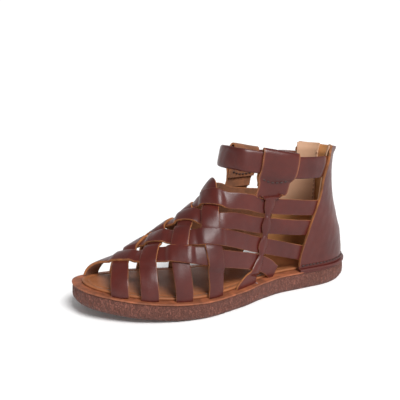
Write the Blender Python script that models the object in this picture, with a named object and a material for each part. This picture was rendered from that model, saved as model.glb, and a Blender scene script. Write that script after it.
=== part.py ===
"""Woven leather ankle sandal on a crepe rubber sole, left foot, size 38.

Metres, +X to the toe, +Y to the wearer's left (the outer side), +Z up, ground at z = 0.
"""

import math

import bmesh
import bpy
import numpy as np

# Sizes that drive the sandal
SOLE_LENGTH = 0.255
BALL_WIDTH = 0.095
ANKLE_WIDTH = 0.056
COLLAR_HEIGHT = 0.122
HEEL_STACK = 0.016
BALL_STACK = 0.014
TOE_SPRING = 0.010
MIDSOLE_THICK = 0.0028
INSOLE_THICK = 0.0018
STRAP_WIDTH = 0.0129
STRAP_THICK = 0.0020
COUNTER_THICK = 0.0022
LOOP_THICK = 0.0015
ANKLE_STRAP_HEIGHT = 0.0185
ANKLE_STRAP_THICK = 0.0034
GAP = 0.0003
JOIN = 0.0006

# Where the upper stands, measured in from the sole's edge
UPPER_INSET = 0.0062
INSOLE_INSET = 0.0078

# Sole outline: station from the heel as a share of the length, centre and half width as
# shares of the ball width
OUTLINE = (
    (0.000, 0.000, 0.340),
    (0.160, 0.004, 0.347),
    (0.270, 0.004, 0.343),
    (0.340, 0.008, 0.338),
    (0.425, 0.035, 0.350),
    (0.520, 0.063, 0.395),
    (0.610, 0.061, 0.440),
    (0.660, 0.047, 0.467),
    (0.710, 0.022, 0.481),
    (0.760, -0.005, 0.489),
    (0.810, -0.027, 0.485),
    (0.860, -0.042, 0.475),
    (0.930, -0.082, 0.466),
    (1.000, -0.115, 0.480),
)
HEEL_ROUND = 0.19
TOE_ROUND = 0.31
TOE_POWER = 2.1

# The last, side on: height as a share of the collar height, then the front line, the back
# line and the widest station, each as a share of the length from the heel
PROFILE = (
    (0.082, 0.9961, 0.0294, 0.163),
    (0.164, 0.9941, 0.0300, 0.173),
    (0.221, 0.9843, 0.0315, 0.181),
    (0.258, 0.9588, 0.0335, 0.185),
    (0.281, 0.9275, 0.0350, 0.188),
    (0.302, 0.8922, 0.0366, 0.191),
    (0.325, 0.8569, 0.0384, 0.194),
    (0.351, 0.8216, 0.0405, 0.199),
    (0.384, 0.7863, 0.0431, 0.205),
    (0.434, 0.7431, 0.0516, 0.215),
    (0.504, 0.6961, 0.0644, 0.228),
    (0.570, 0.6490, 0.0754, 0.240),
    (0.611, 0.6176, 0.0805, 0.246),
    (0.652, 0.5961, 0.0839, 0.251),
    (0.697, 0.5804, 0.0876, 0.257),
    (0.746, 0.5667, 0.0896, 0.263),
    (0.787, 0.5490, 0.0910, 0.268),
    (0.828, 0.5275, 0.0919, 0.273),
    (0.877, 0.5078, 0.0906, 0.273),
    (0.934, 0.4922, 0.0879, 0.274),
    (0.984, 0.4835, 0.0852, 0.274),
    (1.082, 0.4784, 0.0815, 0.275),
    (1.230, 0.4725, 0.0765, 0.276),
)

# Half width of the last at the ankle, as shares of the collar height and the ankle width
ANKLE = ((0.08, 0.482), (0.25, 0.491), (0.39, 0.500), (0.72, 0.500), (0.90, 0.509), (1.23, 0.527))

# The woven straps: stations as shares of the length, heights as shares of the collar height.
# Each climbs from its foot (on the outer side, 1, or the inner, -1) over the shoulder to the
# crest, then runs back down the other side by two guides to the thong and the heel counter.
STRAPS = (
    # side, foot, shoulder x, z, crest, guides x, z, x, z, thong x, z, heel x, z
    (1, 0.893, 0.880, 0.285, 0.846, 0.745, 0.385, 0.655, 0.380, 0.435, 0.250, 0.366, 0.158),
    (1, 0.818, 0.795, 0.345, 0.738, 0.680, 0.478, 0.575, 0.472, 0.428, 0.372, 0.255, 0.262),
    (1, 0.724, 0.706, 0.425, 0.643, 0.590, 0.572, 0.520, 0.560, 0.416, 0.503, 0.225, 0.440),
    (1, 0.622, 0.610, 0.505, 0.563, 0.525, 0.715, 0.465, 0.686, 0.398, 0.636, 0.180, 0.580),
    (-1, 0.922, 0.885, 0.285, 0.850, 0.745, 0.385, 0.655, 0.380, 0.435, 0.250, 0.366, 0.158),
    (-1, 0.826, 0.797, 0.345, 0.738, 0.680, 0.478, 0.575, 0.472, 0.428, 0.372, 0.255, 0.262),
    (-1, 0.730, 0.708, 0.425, 0.646, 0.590, 0.572, 0.520, 0.560, 0.416, 0.503, 0.225, 0.440),
    (-1, 0.622, 0.614, 0.505, 0.586, 0.530, 0.690, 0.470, 0.674, 0.398, 0.634, 0.180, 0.578),
)

# The thong down each side: height share, station share, half width share of the strap width
THONG = (
    (0.134, 0.494, 0.815),
    (0.172, 0.483, 0.634),
    (0.215, 0.463, 0.373),
    (0.256, 0.448, 0.272),
    (0.312, 0.432, 0.204),
    (0.368, 0.425, 0.272),
    (0.438, 0.413, 0.204),
    (0.500, 0.408, 0.272),
    (0.572, 0.402, 0.204),
    (0.640, 0.396, 0.260),
    (0.678, 0.391, 0.385),
    (0.694, 0.386, 1.019),
    (0.715, 0.383, 1.143),
    (0.780, 0.376, 1.154),
    (0.816, 0.374, 1.166),
)

# Front edge of the heel counter: height share, station share
COUNTER_EDGE = (
    (0.14, 0.268),
    (0.23, 0.262),
    (0.36, 0.245),
    (0.50, 0.222),
    (0.67, 0.188),
    (0.78, 0.174),
    (0.91, 0.150),
    (1.02, 0.146),
)

# Middle height of the ankle strap: station share, height share
ANKLE_LINE = ((0.08, 0.862), (0.15, 0.866), (0.29, 0.880), (0.42, 0.927), (0.50, 0.952))


def curve(table, column, at):
    """Smooth curve through one column of a table, read at its first column."""
    rows = sorted(table)
    xs = np.array([row[0] for row in rows])
    ys = np.array([row[column] for row in rows])
    at = np.clip(np.asarray(at, float), xs[0], xs[-1])
    step = np.diff(xs)
    rise = np.diff(ys) / step
    both = rise[:-1] * rise[1:]
    total = rise[:-1] + rise[1:]
    slope = np.zeros_like(ys)
    slope[1:-1] = np.where(both > 0, 2 * both / np.where(total == 0, 1, total), 0)
    slope[0], slope[-1] = rise[0], rise[-1]
    i = np.clip(np.searchsorted(xs, at) - 1, 0, len(step) - 1)
    t = (at - xs[i]) / step[i]
    near = (1 + 2 * t) * (1 - t) ** 2 * ys[i] + t * (1 - t) ** 2 * step[i] * slope[i]
    far = t * t * (3 - 2 * t) * ys[i + 1] + t * t * (t - 1) * step[i] * slope[i + 1]
    return near + far


def ramp(low, high, at):
    t = np.clip((np.asarray(at, float) - low) / (high - low), 0, 1)
    return t * t * (3 - 2 * t)


def station(x):
    return x / SOLE_LENGTH + 0.5


def along(share):
    return (share - 0.5) * SOLE_LENGTH


# Sole

def sole_centre(s):
    return curve(OUTLINE, 1, s) * BALL_WIDTH


def sole_half(s):
    toe = np.clip((s - (1 - TOE_ROUND)) / TOE_ROUND, 0, 1)
    heel = np.clip((HEEL_ROUND - s) / HEEL_ROUND, 0, 1)
    caps = (1 - toe**TOE_POWER) ** (1 / TOE_POWER) * np.sqrt(1 - heel**2)
    return curve(OUTLINE, 2, s) * BALL_WIDTH * caps


def spring(s):
    return TOE_SPRING * np.clip((s - 0.60) / 0.40, 0, 1) ** 2


def rim(s):
    """Height of the midsole's top."""
    return HEEL_STACK + (BALL_STACK - HEEL_STACK) * ramp(0.30, 0.62, s) + spring(s)


def outline(inset, count=84):
    """Left and right edge points at the same stations, from heel to toe."""
    s = (1 - np.cos(np.linspace(0, math.pi, count // 2 + 1))) / 2
    middle, half = sole_centre(s), sole_half(s)
    loop = np.r_[np.c_[along(s), middle + half], np.c_[along(s), middle - half][-2:0:-1]]
    run = np.roll(loop, -1, 0) - np.roll(loop, 1, 0)
    inward = np.c_[run[:, 1], -run[:, 0]] / np.linalg.norm(run, axis=1)[:, None]
    return loop + inward * inset


def stacked(name, rings, paint):
    """Solid from rings of (inset, height function), bottom ring first."""
    mesh = bmesh.new()
    rows = []
    for inset, height in rings:
        loop = outline(inset)
        z = height(np.clip(station(loop[:, 0]), 0, 1))
        rows.append([mesh.verts.new((x, y, h)) for (x, y), h in zip(loop, z)])
    count = len(rows[0])
    for low, high in zip(rows, rows[1:]):
        for i in range(count):
            j = (i + 1) % count
            mesh.faces.new((low[i], low[j], high[j], high[i]))
    for row in (rows[0], rows[-1]):
        for i in range(count // 2):
            corners = (row[i], row[i + 1], row[-i - 1], row[-i])
            mesh.faces.new(corners if i and i + 1 < count // 2 else dict.fromkeys(corners))
    bmesh.ops.recalc_face_normals(mesh, faces=mesh.faces)
    return finish(name, mesh, paint)


# The last: one closed surface, half width and closing term at any (x, z)

def last_terms(x, z):
    s = station(x)
    floor = rim(s)
    h = z / COLLAR_HEIGHT
    front, back, widest = (along(curve(PROFILE, k, h)) for k in (1, 2, 3))
    crest_rows = [(row[1], row[0]) for row in PROFILE]
    crest = curve(crest_rows, 1, s) * COLLAR_HEIGHT
    crest = crest + np.clip(along(PROFILE[-1][1]) - x, 0, None) * 12
    rear = (1 - ramp(0.32, 0.62, s)) * ramp(0, 0.33, (z - floor) / COLLAR_HEIGHT)
    half = np.maximum(sole_half(np.clip(s, 0, 1)) / heel_relief(s) - UPPER_INSET, GAP)
    half = half * (1 - rear) + curve(ANKLE, 1, h) * ANKLE_WIDTH * rear
    middle = sole_centre(s) * (1 - rear)
    ahead = np.where(x > widest, (x - widest) / (front - widest), (widest - x) / (widest - back))
    power = np.where(x > widest, 3.0 - ramp(0.16, 0.66, h), 2.1)
    up = np.clip((z - floor) / (crest - floor), 0, None)
    share = ramp(0.38, 0.66, s)
    closing = share * up**2.1 + (1 - share) * np.abs(ahead) ** power
    return middle, half, closing


def heel_relief(s):
    """The last rounds its own heel, so the sole's heel rounding is taken out of its width."""
    heel = np.clip((HEEL_ROUND - s) / HEEL_ROUND, 0, 0.985)
    return np.sqrt(1 - heel**2)


def field(p):
    middle, half, closing = last_terms(p[:, 0], p[:, 2])
    return (np.abs(p[:, 1] - middle) / half) ** 2.15 + closing - 1


def gradient(p, h=2e-5):
    steps = np.eye(3) * h
    return np.stack([(field(p + d) - field(p - d)) / (2 * h) for d in steps], axis=1)


def on_last(points, rounds=12):
    """Nearest points of the last, and the directions that face out there."""
    p = np.array(points, float).reshape(-1, 3)
    for _ in range(rounds):
        slope = gradient(p)
        size = np.maximum((slope * slope).sum(1), 1e-9)
        move = -(field(p) / size)[:, None] * slope
        length = np.linalg.norm(move, axis=1)[:, None]
        p = p + move * np.minimum(1, 0.006 / np.maximum(length, 1e-12))
    slope = gradient(p)
    return p, slope / np.linalg.norm(slope, axis=1)[:, None]


def side_point(x, z, side):
    middle, half, closing = last_terms(np.array([x]), np.array([z]))
    reach = half * np.clip(1 - closing, 0, None) ** (1 / 2.15)
    return (x, float(middle[0] + side * reach[0]), z)


def smooth_path(points, step=STRAP_WIDTH * 0.4):
    """Even steps along a smooth curve through the points, laid on the last."""
    p = np.array(points)
    ends = np.r_[[2 * p[0] - p[1]], p, [2 * p[-1] - p[-2]]]
    fine = []
    for a, b, c, d in zip(ends, ends[1:], ends[2:], ends[3:]):
        for t in np.linspace(0, 1, 12, endpoint=False):
            fine.append(b + 0.5 * t * (c - a + t * (2 * a - 5 * b + 4 * c - d
                                                    + t * (3 * (b - c) + d - a))))
    fine, _ = on_last(np.array(fine + [p[-1]]))
    run = np.r_[0, np.cumsum(np.linalg.norm(np.diff(fine, axis=0), axis=1))]
    want = np.linspace(0, run[-1], int(run[-1] / step) + 1)
    even = np.stack([np.interp(want, run, fine[:, k]) for k in range(3)], axis=1)
    return on_last(even)[0], want


def strap_path(row):
    side, foot, sx, sz, crest, ax, az, bx, bz, tx, tz, hx, hz = row
    high = COLLAR_HEIGHT
    foot_z = float(rim(foot)) + GAP
    top = float(curve([(r[1], r[0]) for r in PROFILE], 1, crest)) * high
    guides = [side_point(along(foot), foot_z, side), side_point(along(sx), sz * high, side)]
    guides.append((along(crest), float(sole_centre(crest)), top))
    for x, z in ((ax, az), (bx, bz), (tx, tz), (hx, hz)):
        guides.append(side_point(along(x), z * high, -side))
    return smooth_path(guides)


def crossing(one, two):
    """Place along each path where two paths come closest."""
    apart = np.linalg.norm(one[0][:, None] - two[0][None], axis=2)
    i, j = np.unravel_index(apart.argmin(), apart.shape)
    return one[1][i], two[1][j], apart[i, j]


# Sheets of leather laid on the last

def sheet(name, points, outward, thick, closed=False):
    """Grid of points (rows, columns, 3) given a thickness on its outer side."""
    rows, columns = points.shape[:2]
    mesh = bmesh.new()
    bmesh.ops.create_grid(mesh, x_segments=columns - 1, y_segments=rows - 1, size=1)
    mesh.verts.ensure_lookup_table()
    for vert in mesh.verts:
        column = round((vert.co.x + 1) / 2 * (columns - 1))
        row = round((vert.co.y + 1) / 2 * (rows - 1))
        vert.co = points[row, column]
    if closed:
        bmesh.ops.remove_doubles(mesh, verts=mesh.verts, dist=1e-6)
    mesh.normal_update()
    mesh.faces.ensure_lookup_table()
    face = mesh.faces[len(mesh.faces) // 3]
    if face.normal.dot(outward(np.array(face.calc_center_median()))) < 0:
        bmesh.ops.reverse_faces(mesh, faces=mesh.faces)
    leather = finish(name, mesh, None)
    solid = leather.modifiers.new("Thickness", "SOLIDIFY")
    solid.thickness = thick
    solid.offset = 1
    solid.use_even_offset = True
    return leather


def from_last(point):
    return on_last(point[None])[1][0].tolist()


def ribbon(name, path, half, lift, thick, climbing=None, across=3):
    """Strap along a path, with its half width and lift off the last given at each step."""
    centre, out = on_last(path)
    run = np.gradient(centre, axis=0)
    aside = np.cross(out, run)
    aside /= np.linalg.norm(aside, axis=1)[:, None]
    columns = []
    for share in np.linspace(-1, 1, across):
        spot, normal = on_last(centre + aside * (half * share)[:, None], 6)
        rise = lift + climbing(spot) if climbing else lift
        spot = spot + normal * rise[:, None]
        floor = rim(np.clip(station(spot[:, 0]), 0, 1)) + GAP * 1.5
        spot[:, 2] = np.maximum(spot[:, 2], floor)
        columns.append(spot)
    return sheet(name, np.stack(columns, axis=1), from_last, thick)


def stretch(path, at, reach=STRAP_WIDTH * 1.4):
    """Close points of a path on both sides of a place along it."""
    points, run = path
    want = np.linspace(max(at - reach, 0), min(at + reach, run[-1]), 33)
    return np.stack([np.interp(want, run, points[:, k]) for k in range(3)], axis=1)


def climb(below):
    """Lift that carries a strap over the straps whose stretches are given."""
    edge = STRAP_WIDTH / 2 + JOIN

    def lift(spots):
        most = np.zeros(len(spots))
        for line in below:
            away = np.linalg.norm(spots[:, None] - line[None], axis=2).min(1)
            most = np.maximum(most, 1 - ramp(edge, edge + STRAP_WIDTH * 0.38, away))
        return most * (STRAP_THICK - JOIN)

    return lift


def woven_straps():
    paths = [strap_path(row) for row in STRAPS]
    below = [[] for _ in paths]
    count = len(STRAPS) // 2
    for i in range(count):
        for j in range(count):
            outer, inner = paths[i], paths[count + j]
            at_outer, at_inner, apart = crossing(outer, inner)
            if apart > STRAP_WIDTH * 0.4:
                continue
            if (i + j) % 2:
                below[i].append(stretch(inner, at_inner))
            else:
                below[count + j].append(stretch(outer, at_outer))
    straps = []
    for i, (path, run) in enumerate(paths):
        tuck = JOIN * 1.5 * ramp(0.8, 0.2, (run[-1] - run) / STRAP_WIDTH) * bool(i % count)
        half = np.full(len(run), STRAP_WIDTH / 2)
        name = "strap_%d" % (i + 1)
        straps.append(ribbon(name, path, half, tuck, STRAP_THICK, climb(below[i])))
    return straps


def thong(side):
    rows = np.linspace(THONG[0][0], 0.660, 21)
    rows = np.r_[rows, 0.676, 0.686, 0.698, 0.714, 0.750, 0.783, 0.816]
    x = along(curve(THONG, 1, rows))
    z = rows * COLLAR_HEIGHT
    path = np.array([side_point(a, b, side) for a, b in zip(x, z)])
    half = curve(THONG, 2, rows) * STRAP_WIDTH
    lift = (STRAP_THICK - JOIN) * ramp(0.15, 0.20, rows)
    lift = lift + ANKLE_STRAP_THICK * 0.62 * ramp(0.71, 0.82, rows)
    return ribbon("thong", path, half, lift, LOOP_THICK)


def loop(side):
    """Sleeve at the top of the thong that the ankle strap runs through."""
    width = np.linspace(-1, 1, 9) * STRAP_WIDTH * 1.21
    low, high = 0.8000, 1.0080
    pad = ANKLE_STRAP_THICK + 4 * GAP
    turn = [(0.60, 0.0), (0.92, 0.045), (1.0, 0.10), (1.0, 0.5), (1.0, 0.90), (0.85, 0.975),
            (0.50, 1.0), (0.15, 0.975), (0.0, 0.90), (0.0, 0.5), (0.0, 0.10), (0.30, 0.03)]
    x0 = along(THONG[-1][1] - 0.006)
    grid = []
    for off, up in turn + turn[:1]:
        row = []
        for w in width:
            x = x0 + w
            tilt = float(curve(ANKLE_LINE, 1, station(x)) - curve(ANKLE_LINE, 1, station(x0)))
            z = (low + (high - low) * up + tilt) * COLLAR_HEIGHT
            spot, out = on_last([side_point(x, z, side)])
            row.append(spot[0] + out[0] * (pad * off - GAP))
        grid.append(row)
    grid = np.array(grid)
    middle = grid.reshape(-1, 3).mean(0)
    return sheet("loop", grid, lambda p: (p - middle).tolist(), LOOP_THICK, closed=True)


def counter():
    """Heel counter: round the heel from one front edge to the other, foot turned outward."""
    turns, rows = 33, 14
    floor = float(rim(0.1)) + GAP
    top = COLLAR_HEIGHT * 1.01
    hub = along(0.206)
    levels = floor + (top - floor) * np.linspace(0, 1, rows - 2)
    foot = [(floor + COUNTER_THICK * up, COUNTER_THICK * out)
            for up, out in ((0.0, 1.64), (0.09, 0.82), (0.36, 0.27))]
    levels = foot + [(z, 0.0) for z in levels[1:]]
    grid = []
    for z, out in levels:
        x = along(float(curve(COUNTER_EDGE, 1, z / COLLAR_HEIGHT)))
        edge = side_point(x, z, 1)
        start = math.atan2(edge[1], edge[0] - hub)
        angle = np.linspace(start, 2 * math.pi - start, turns)
        reach = ANKLE_WIDTH * 0.57
        ring = np.c_[hub + reach * np.cos(angle), reach * np.sin(angle), np.full(turns, z)]
        spot, normal = on_last(ring)
        spot[:, 2], normal[:, 2] = z, 0
        normal /= np.linalg.norm(normal, axis=1)[:, None]
        ear = COUNTER_THICK * 1.3 * ramp(0.95, 1.01, z / COLLAR_HEIGHT) * ramp(0.9, 0.1, abs(angle - math.pi))
        lift = STRAP_THICK - JOIN * 0.5 + out + ear
        spot = spot + normal * np.reshape(lift, (-1, 1))
        spot[:, 2] += ear * 0.6
        grid.append(spot)
    grid = np.array(grid)
    return sheet("upper", grid, from_last, COUNTER_THICK)


def ankle_strap(paint):
    turns, across = 41, 4
    hub = along(0.324)
    grid = []
    for share in np.linspace(-1, 1, across):
        end_z = float(curve(ANKLE_LINE, 1, 0.15)) * COLLAR_HEIGHT + share * ANKLE_STRAP_HEIGHT / 2
        end_x = along(float(curve(COUNTER_EDGE, 1, end_z / COLLAR_HEIGHT))) + 4 * GAP
        corner = side_point(end_x, end_z, 1)
        start = math.atan2(corner[1], corner[0] - hub)
        angle = np.linspace(start, -start, turns)
        ring = np.c_[hub + ANKLE_WIDTH * 0.71 * np.cos(angle),
                     ANKLE_WIDTH * 0.54 * np.sin(angle),
                     np.full(turns, COLLAR_HEIGHT * 0.86)]
        ring, _ = on_last(ring)
        z = curve(ANKLE_LINE, 1, station(ring[:, 0])) * COLLAR_HEIGHT
        z = z + share * ANKLE_STRAP_HEIGHT / 2
        spot, out = on_last(np.c_[ring[:, :2], z])
        spot[:, 2] = z
        grid.append(spot + out * GAP)
    strap = sheet("ankle_strap", np.array(grid), from_last, ANKLE_STRAP_THICK)
    roll = strap.modifiers.new("Rolled edge", "BEVEL")
    roll.width = ANKLE_STRAP_THICK * 0.3
    roll.segments = 1
    roll.limit_method = "ANGLE"
    roll.angle_limit = math.radians(60)
    strap.data.materials.append(paint)
    return strap


# Scene

def finish(name, mesh, paint):
    data = bpy.data.meshes.new(name)
    mesh.to_mesh(data)
    mesh.free()
    made = bpy.data.objects.new(name, data)
    bpy.context.scene.collection.objects.link(made)
    if paint:
        data.materials.append(paint)
    return made


def keep_largest_shell(obj):
    """Settles the modifiers and drops the crumbs that joining leaves."""
    whole = bpy.data.meshes.new_from_object(
        obj.evaluated_get(bpy.context.evaluated_depsgraph_get()))
    mesh = bmesh.new()
    mesh.from_mesh(whole)
    bmesh.ops.triangulate(mesh, faces=mesh.faces)
    left, shells = set(mesh.faces), []
    while left:
        shell, front = set(), [left.pop()]
        while front:
            face = front.pop()
            shell.add(face)
            plain = [line for line in face.edges if len(line.link_faces) == 2]
            near = {other for line in plain for other in line.link_faces} & left
            left -= near
            front.extend(near)
        shells.append(shell)
    largest = max(shells, key=len)
    crumbs = [face for shell in shells if shell is not largest for face in shell]
    bmesh.ops.delete(mesh, geom=crumbs, context="FACES")
    mesh.to_mesh(whole)
    mesh.free()
    obj.modifiers.clear()
    obj.data = whole


def material(name, colour, roughness):
    made = bpy.data.materials.new(name)
    made.use_nodes = True
    shader = made.node_tree.nodes["Principled BSDF"]
    shader.inputs["Base Color"].default_value = (*colour, 1)
    shader.inputs["Roughness"].default_value = roughness
    return made


def main():
    for old in list(bpy.data.objects):
        bpy.data.objects.remove(old, do_unlink=True)

    rubber = material("crepe_rubber", (0.19, 0.055, 0.035), 0.7)
    edge = material("tan_leather", (0.60, 0.27, 0.10), 0.6)
    lining = material("insole_leather", (0.56, 0.29, 0.12), 0.55)
    leather = material("burgundy_leather", (0.10, 0.022, 0.018), 0.45)

    stacked("outsole", (
        (BALL_STACK * 0.23, spring),
        (BALL_STACK * 0.11, lambda s: spring(s) + BALL_STACK * 0.16),
        (BALL_STACK * 0.03, lambda s: rim(s) - MIDSOLE_THICK - BALL_STACK * 0.21),
        (0.0, lambda s: rim(s) - MIDSOLE_THICK - BALL_STACK * 0.09),
        (BALL_STACK * 0.03, lambda s: rim(s) - MIDSOLE_THICK - GAP),
    ), rubber)
    stacked("midsole", (
        (MIDSOLE_THICK * 0.21, lambda s: rim(s) - MIDSOLE_THICK),
        (0.0, lambda s: rim(s) - MIDSOLE_THICK * 0.8),
        (0.0, lambda s: rim(s) - MIDSOLE_THICK * 0.25),
        (MIDSOLE_THICK * 0.25, rim),
    ), edge)
    stacked("insole", (
        (INSOLE_INSET, lambda s: rim(s) + GAP),
        (INSOLE_INSET, lambda s: rim(s) + GAP + INSOLE_THICK * 0.7),
        (INSOLE_INSET + INSOLE_THICK * 0.33, lambda s: rim(s) + GAP + INSOLE_THICK),
    ), lining)

    upper = counter()
    upper.data.materials.append(leather)
    joined = bpy.data.collections.new("joined to the upper")
    bpy.context.scene.collection.children.link(joined)
    pieces = woven_straps()
    for side in (1, -1):
        pieces += [thong(side), loop(side)]
    for piece in pieces:
        bpy.context.scene.collection.objects.unlink(piece)
        joined.objects.link(piece)
    union = upper.modifiers.new("Joined", "BOOLEAN")
    union.operation = "UNION"
    union.solver = "EXACT"
    union.operand_type = "COLLECTION"
    union.collection = joined
    keep_largest_shell(upper)
    for piece in pieces:
        bpy.data.objects.remove(piece, do_unlink=True)

    ankle_strap(leather)


main()
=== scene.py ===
"""Woven leather ankle sandal on a crepe rubber sole, left foot, size 38.

Metres, +X to the toe, +Y to the wearer's left (the outer side), +Z up, ground at z = 0.
"""
import math

import bmesh
import bpy
import numpy as np
from bpy.props import FloatProperty, FloatVectorProperty, PointerProperty
from mathutils import Matrix, Vector


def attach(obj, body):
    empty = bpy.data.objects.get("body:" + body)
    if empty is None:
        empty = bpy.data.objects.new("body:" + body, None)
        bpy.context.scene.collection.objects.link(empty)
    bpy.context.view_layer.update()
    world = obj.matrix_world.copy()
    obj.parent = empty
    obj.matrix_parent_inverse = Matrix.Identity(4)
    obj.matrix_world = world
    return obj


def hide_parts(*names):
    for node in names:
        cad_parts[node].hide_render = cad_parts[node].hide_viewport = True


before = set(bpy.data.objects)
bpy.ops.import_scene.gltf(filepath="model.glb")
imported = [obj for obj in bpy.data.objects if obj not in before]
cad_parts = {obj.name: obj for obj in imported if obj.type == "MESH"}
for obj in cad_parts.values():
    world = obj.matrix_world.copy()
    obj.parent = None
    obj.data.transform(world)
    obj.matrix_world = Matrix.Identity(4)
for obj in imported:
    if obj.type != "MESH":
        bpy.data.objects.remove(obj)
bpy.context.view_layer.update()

bl_info = {
    "name": "Woven ankle sandal",
    "version": (1, 0, 0),
    "blender": (4, 5, 0),
    "location": "3D View > Sidebar > Sandal",
    "description": "Makes a woven leather ankle sandal on a crepe rubber sole",
    "category": "Add Mesh",
}

# Sizes shared with the solids
SOLE_LENGTH = 0.255
BALL_WIDTH = 0.095
ANKLE_WIDTH = 0.056
COLLAR_HEIGHT = 0.122
HEEL_STACK = 0.016
BALL_STACK = 0.014
TOE_SPRING = 0.010
MIDSOLE_THICK = 0.0028
INSOLE_THICK = 0.0018
STRAP_WIDTH = 0.0129
STRAP_THICK = 0.0020
COUNTER_THICK = 0.0022
LOOP_THICK = 0.0015
ANKLE_STRAP_HEIGHT = 0.0185
ANKLE_STRAP_THICK = 0.0034
LINING_THICK = 0.0009
GAP = 0.0003
UPPER_INSET = 0.0062
INSOLE_INSET = 0.0078

# Sole outline: station from the heel as a share of the length, centre and half width as
# shares of the ball width
OUTLINE = (
    (0.000, 0.000, 0.340),
    (0.160, 0.004, 0.347),
    (0.270, 0.004, 0.343),
    (0.340, 0.008, 0.338),
    (0.425, 0.035, 0.350),
    (0.520, 0.063, 0.395),
    (0.610, 0.061, 0.440),
    (0.660, 0.047, 0.467),
    (0.710, 0.022, 0.481),
    (0.760, -0.005, 0.489),
    (0.810, -0.027, 0.485),
    (0.860, -0.042, 0.475),
    (0.930, -0.082, 0.466),
    (1.000, -0.115, 0.480),
)
HEEL_ROUND = 0.19
TOE_ROUND = 0.31
TOE_POWER = 2.1

# The last, side on: height as a share of the collar height, then the front line, the back
# line and the widest station, each as a share of the length from the heel
PROFILE = (
    (0.082, 0.9961, 0.0294, 0.163),
    (0.164, 0.9941, 0.0300, 0.173),
    (0.221, 0.9843, 0.0315, 0.181),
    (0.258, 0.9588, 0.0335, 0.185),
    (0.281, 0.9275, 0.0350, 0.188),
    (0.302, 0.8922, 0.0366, 0.191),
    (0.325, 0.8569, 0.0384, 0.194),
    (0.351, 0.8216, 0.0405, 0.199),
    (0.384, 0.7863, 0.0431, 0.205),
    (0.434, 0.7431, 0.0516, 0.215),
    (0.504, 0.6961, 0.0644, 0.228),
    (0.570, 0.6490, 0.0754, 0.240),
    (0.611, 0.6176, 0.0805, 0.246),
    (0.652, 0.5961, 0.0839, 0.251),
    (0.697, 0.5804, 0.0876, 0.257),
    (0.746, 0.5667, 0.0896, 0.263),
    (0.787, 0.5490, 0.0910, 0.268),
    (0.828, 0.5275, 0.0919, 0.273),
    (0.877, 0.5078, 0.0906, 0.273),
    (0.934, 0.4922, 0.0879, 0.274),
    (0.984, 0.4835, 0.0852, 0.274),
    (1.082, 0.4784, 0.0815, 0.275),
    (1.230, 0.4725, 0.0765, 0.276),
)

# Half width of the last at the ankle, as shares of the collar height and the ankle width
ANKLE = ((0.08, 0.482), (0.25, 0.491), (0.39, 0.500), (0.72, 0.500), (0.90, 0.509), (1.23, 0.527))

# The woven straps: stations as shares of the length, heights as shares of the collar height.
# Each climbs from its foot (on the outer side, 1, or the inner, -1) over the shoulder to the
# crest, then runs back down the other side by two guides to the thong and the heel counter.
STRAPS = (
    # side, foot, shoulder x, z, crest, guides x, z, x, z, thong x, z, heel x, z
    (1, 0.893, 0.880, 0.285, 0.846, 0.745, 0.385, 0.655, 0.380, 0.435, 0.250, 0.366, 0.158),
    (1, 0.818, 0.795, 0.345, 0.738, 0.680, 0.478, 0.575, 0.472, 0.428, 0.372, 0.255, 0.262),
    (1, 0.724, 0.706, 0.425, 0.643, 0.590, 0.572, 0.520, 0.560, 0.416, 0.503, 0.225, 0.440),
    (1, 0.622, 0.610, 0.505, 0.563, 0.525, 0.715, 0.465, 0.686, 0.398, 0.636, 0.180, 0.580),
    (-1, 0.922, 0.885, 0.285, 0.850, 0.745, 0.385, 0.655, 0.380, 0.435, 0.250, 0.366, 0.158),
    (-1, 0.826, 0.797, 0.345, 0.738, 0.680, 0.478, 0.575, 0.472, 0.428, 0.372, 0.255, 0.262),
    (-1, 0.730, 0.708, 0.425, 0.646, 0.590, 0.572, 0.520, 0.560, 0.416, 0.503, 0.225, 0.440),
    (-1, 0.622, 0.614, 0.505, 0.586, 0.530, 0.690, 0.470, 0.674, 0.398, 0.634, 0.180, 0.578),
)

# The thong down each side: height share, station share, half width share of the strap width
THONG = (
    (0.100, 0.500, 0.840),
    (0.134, 0.494, 0.815),
    (0.172, 0.483, 0.634),
    (0.215, 0.463, 0.373),
    (0.256, 0.448, 0.300),
    (0.312, 0.432, 0.125),
    (0.368, 0.425, 0.300),
    (0.438, 0.413, 0.125),
    (0.500, 0.408, 0.300),
    (0.572, 0.402, 0.125),
    (0.636, 0.396, 0.300),
    (0.680, 0.391, 0.300),
    (0.694, 0.386, 1.019),
    (0.715, 0.383, 1.143),
    (0.780, 0.3735, 1.100),
    (0.816, 0.3700, 1.180),
    (0.850, 0.3630, 1.190),
    (1.010, 0.3475, 1.170),
)

# The panel on top of the thong: up over the ankle strap, folded and stitched back.
# Height share of its inner face, and how far that stands off the last.
FOLD = (
    (0.694, 0.00040),
    (0.740, 0.00040),
    (0.785, 0.00060),
    (0.808, 0.00130),
    (0.830, 0.00290),
    (0.862, 0.00390),
    (0.905, 0.00405),
    (0.950, 0.00400),
    (0.980, 0.00330),
    (0.990, 0.00185),
    (0.982, 0.00040),
    (0.955, -0.00030),
    (0.900, -0.00040),
    (0.840, -0.00035),
    (0.800, -0.00005),
    (0.768, 0.00010),
)
STITCH_ROW = 0.788

# Front edge of the heel counter: height share, station share
COUNTER_EDGE = (
    (0.14, 0.268),
    (0.23, 0.262),
    (0.36, 0.245),
    (0.50, 0.222),
    (0.67, 0.188),
    (0.78, 0.174),
    (0.91, 0.150),
    (1.02, 0.146),
)

# Middle height of the ankle strap: station share, height share
ANKLE_LINE = ((0.08, 0.862), (0.15, 0.866), (0.29, 0.880), (0.42, 0.927), (0.50, 0.952))


# Sizes and colours that a user would change

def length(name, text, default):
    return FloatProperty(name=name, description=text, default=default, min=0, precision=5,
                         subtype="DISTANCE", unit="LENGTH")


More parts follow.
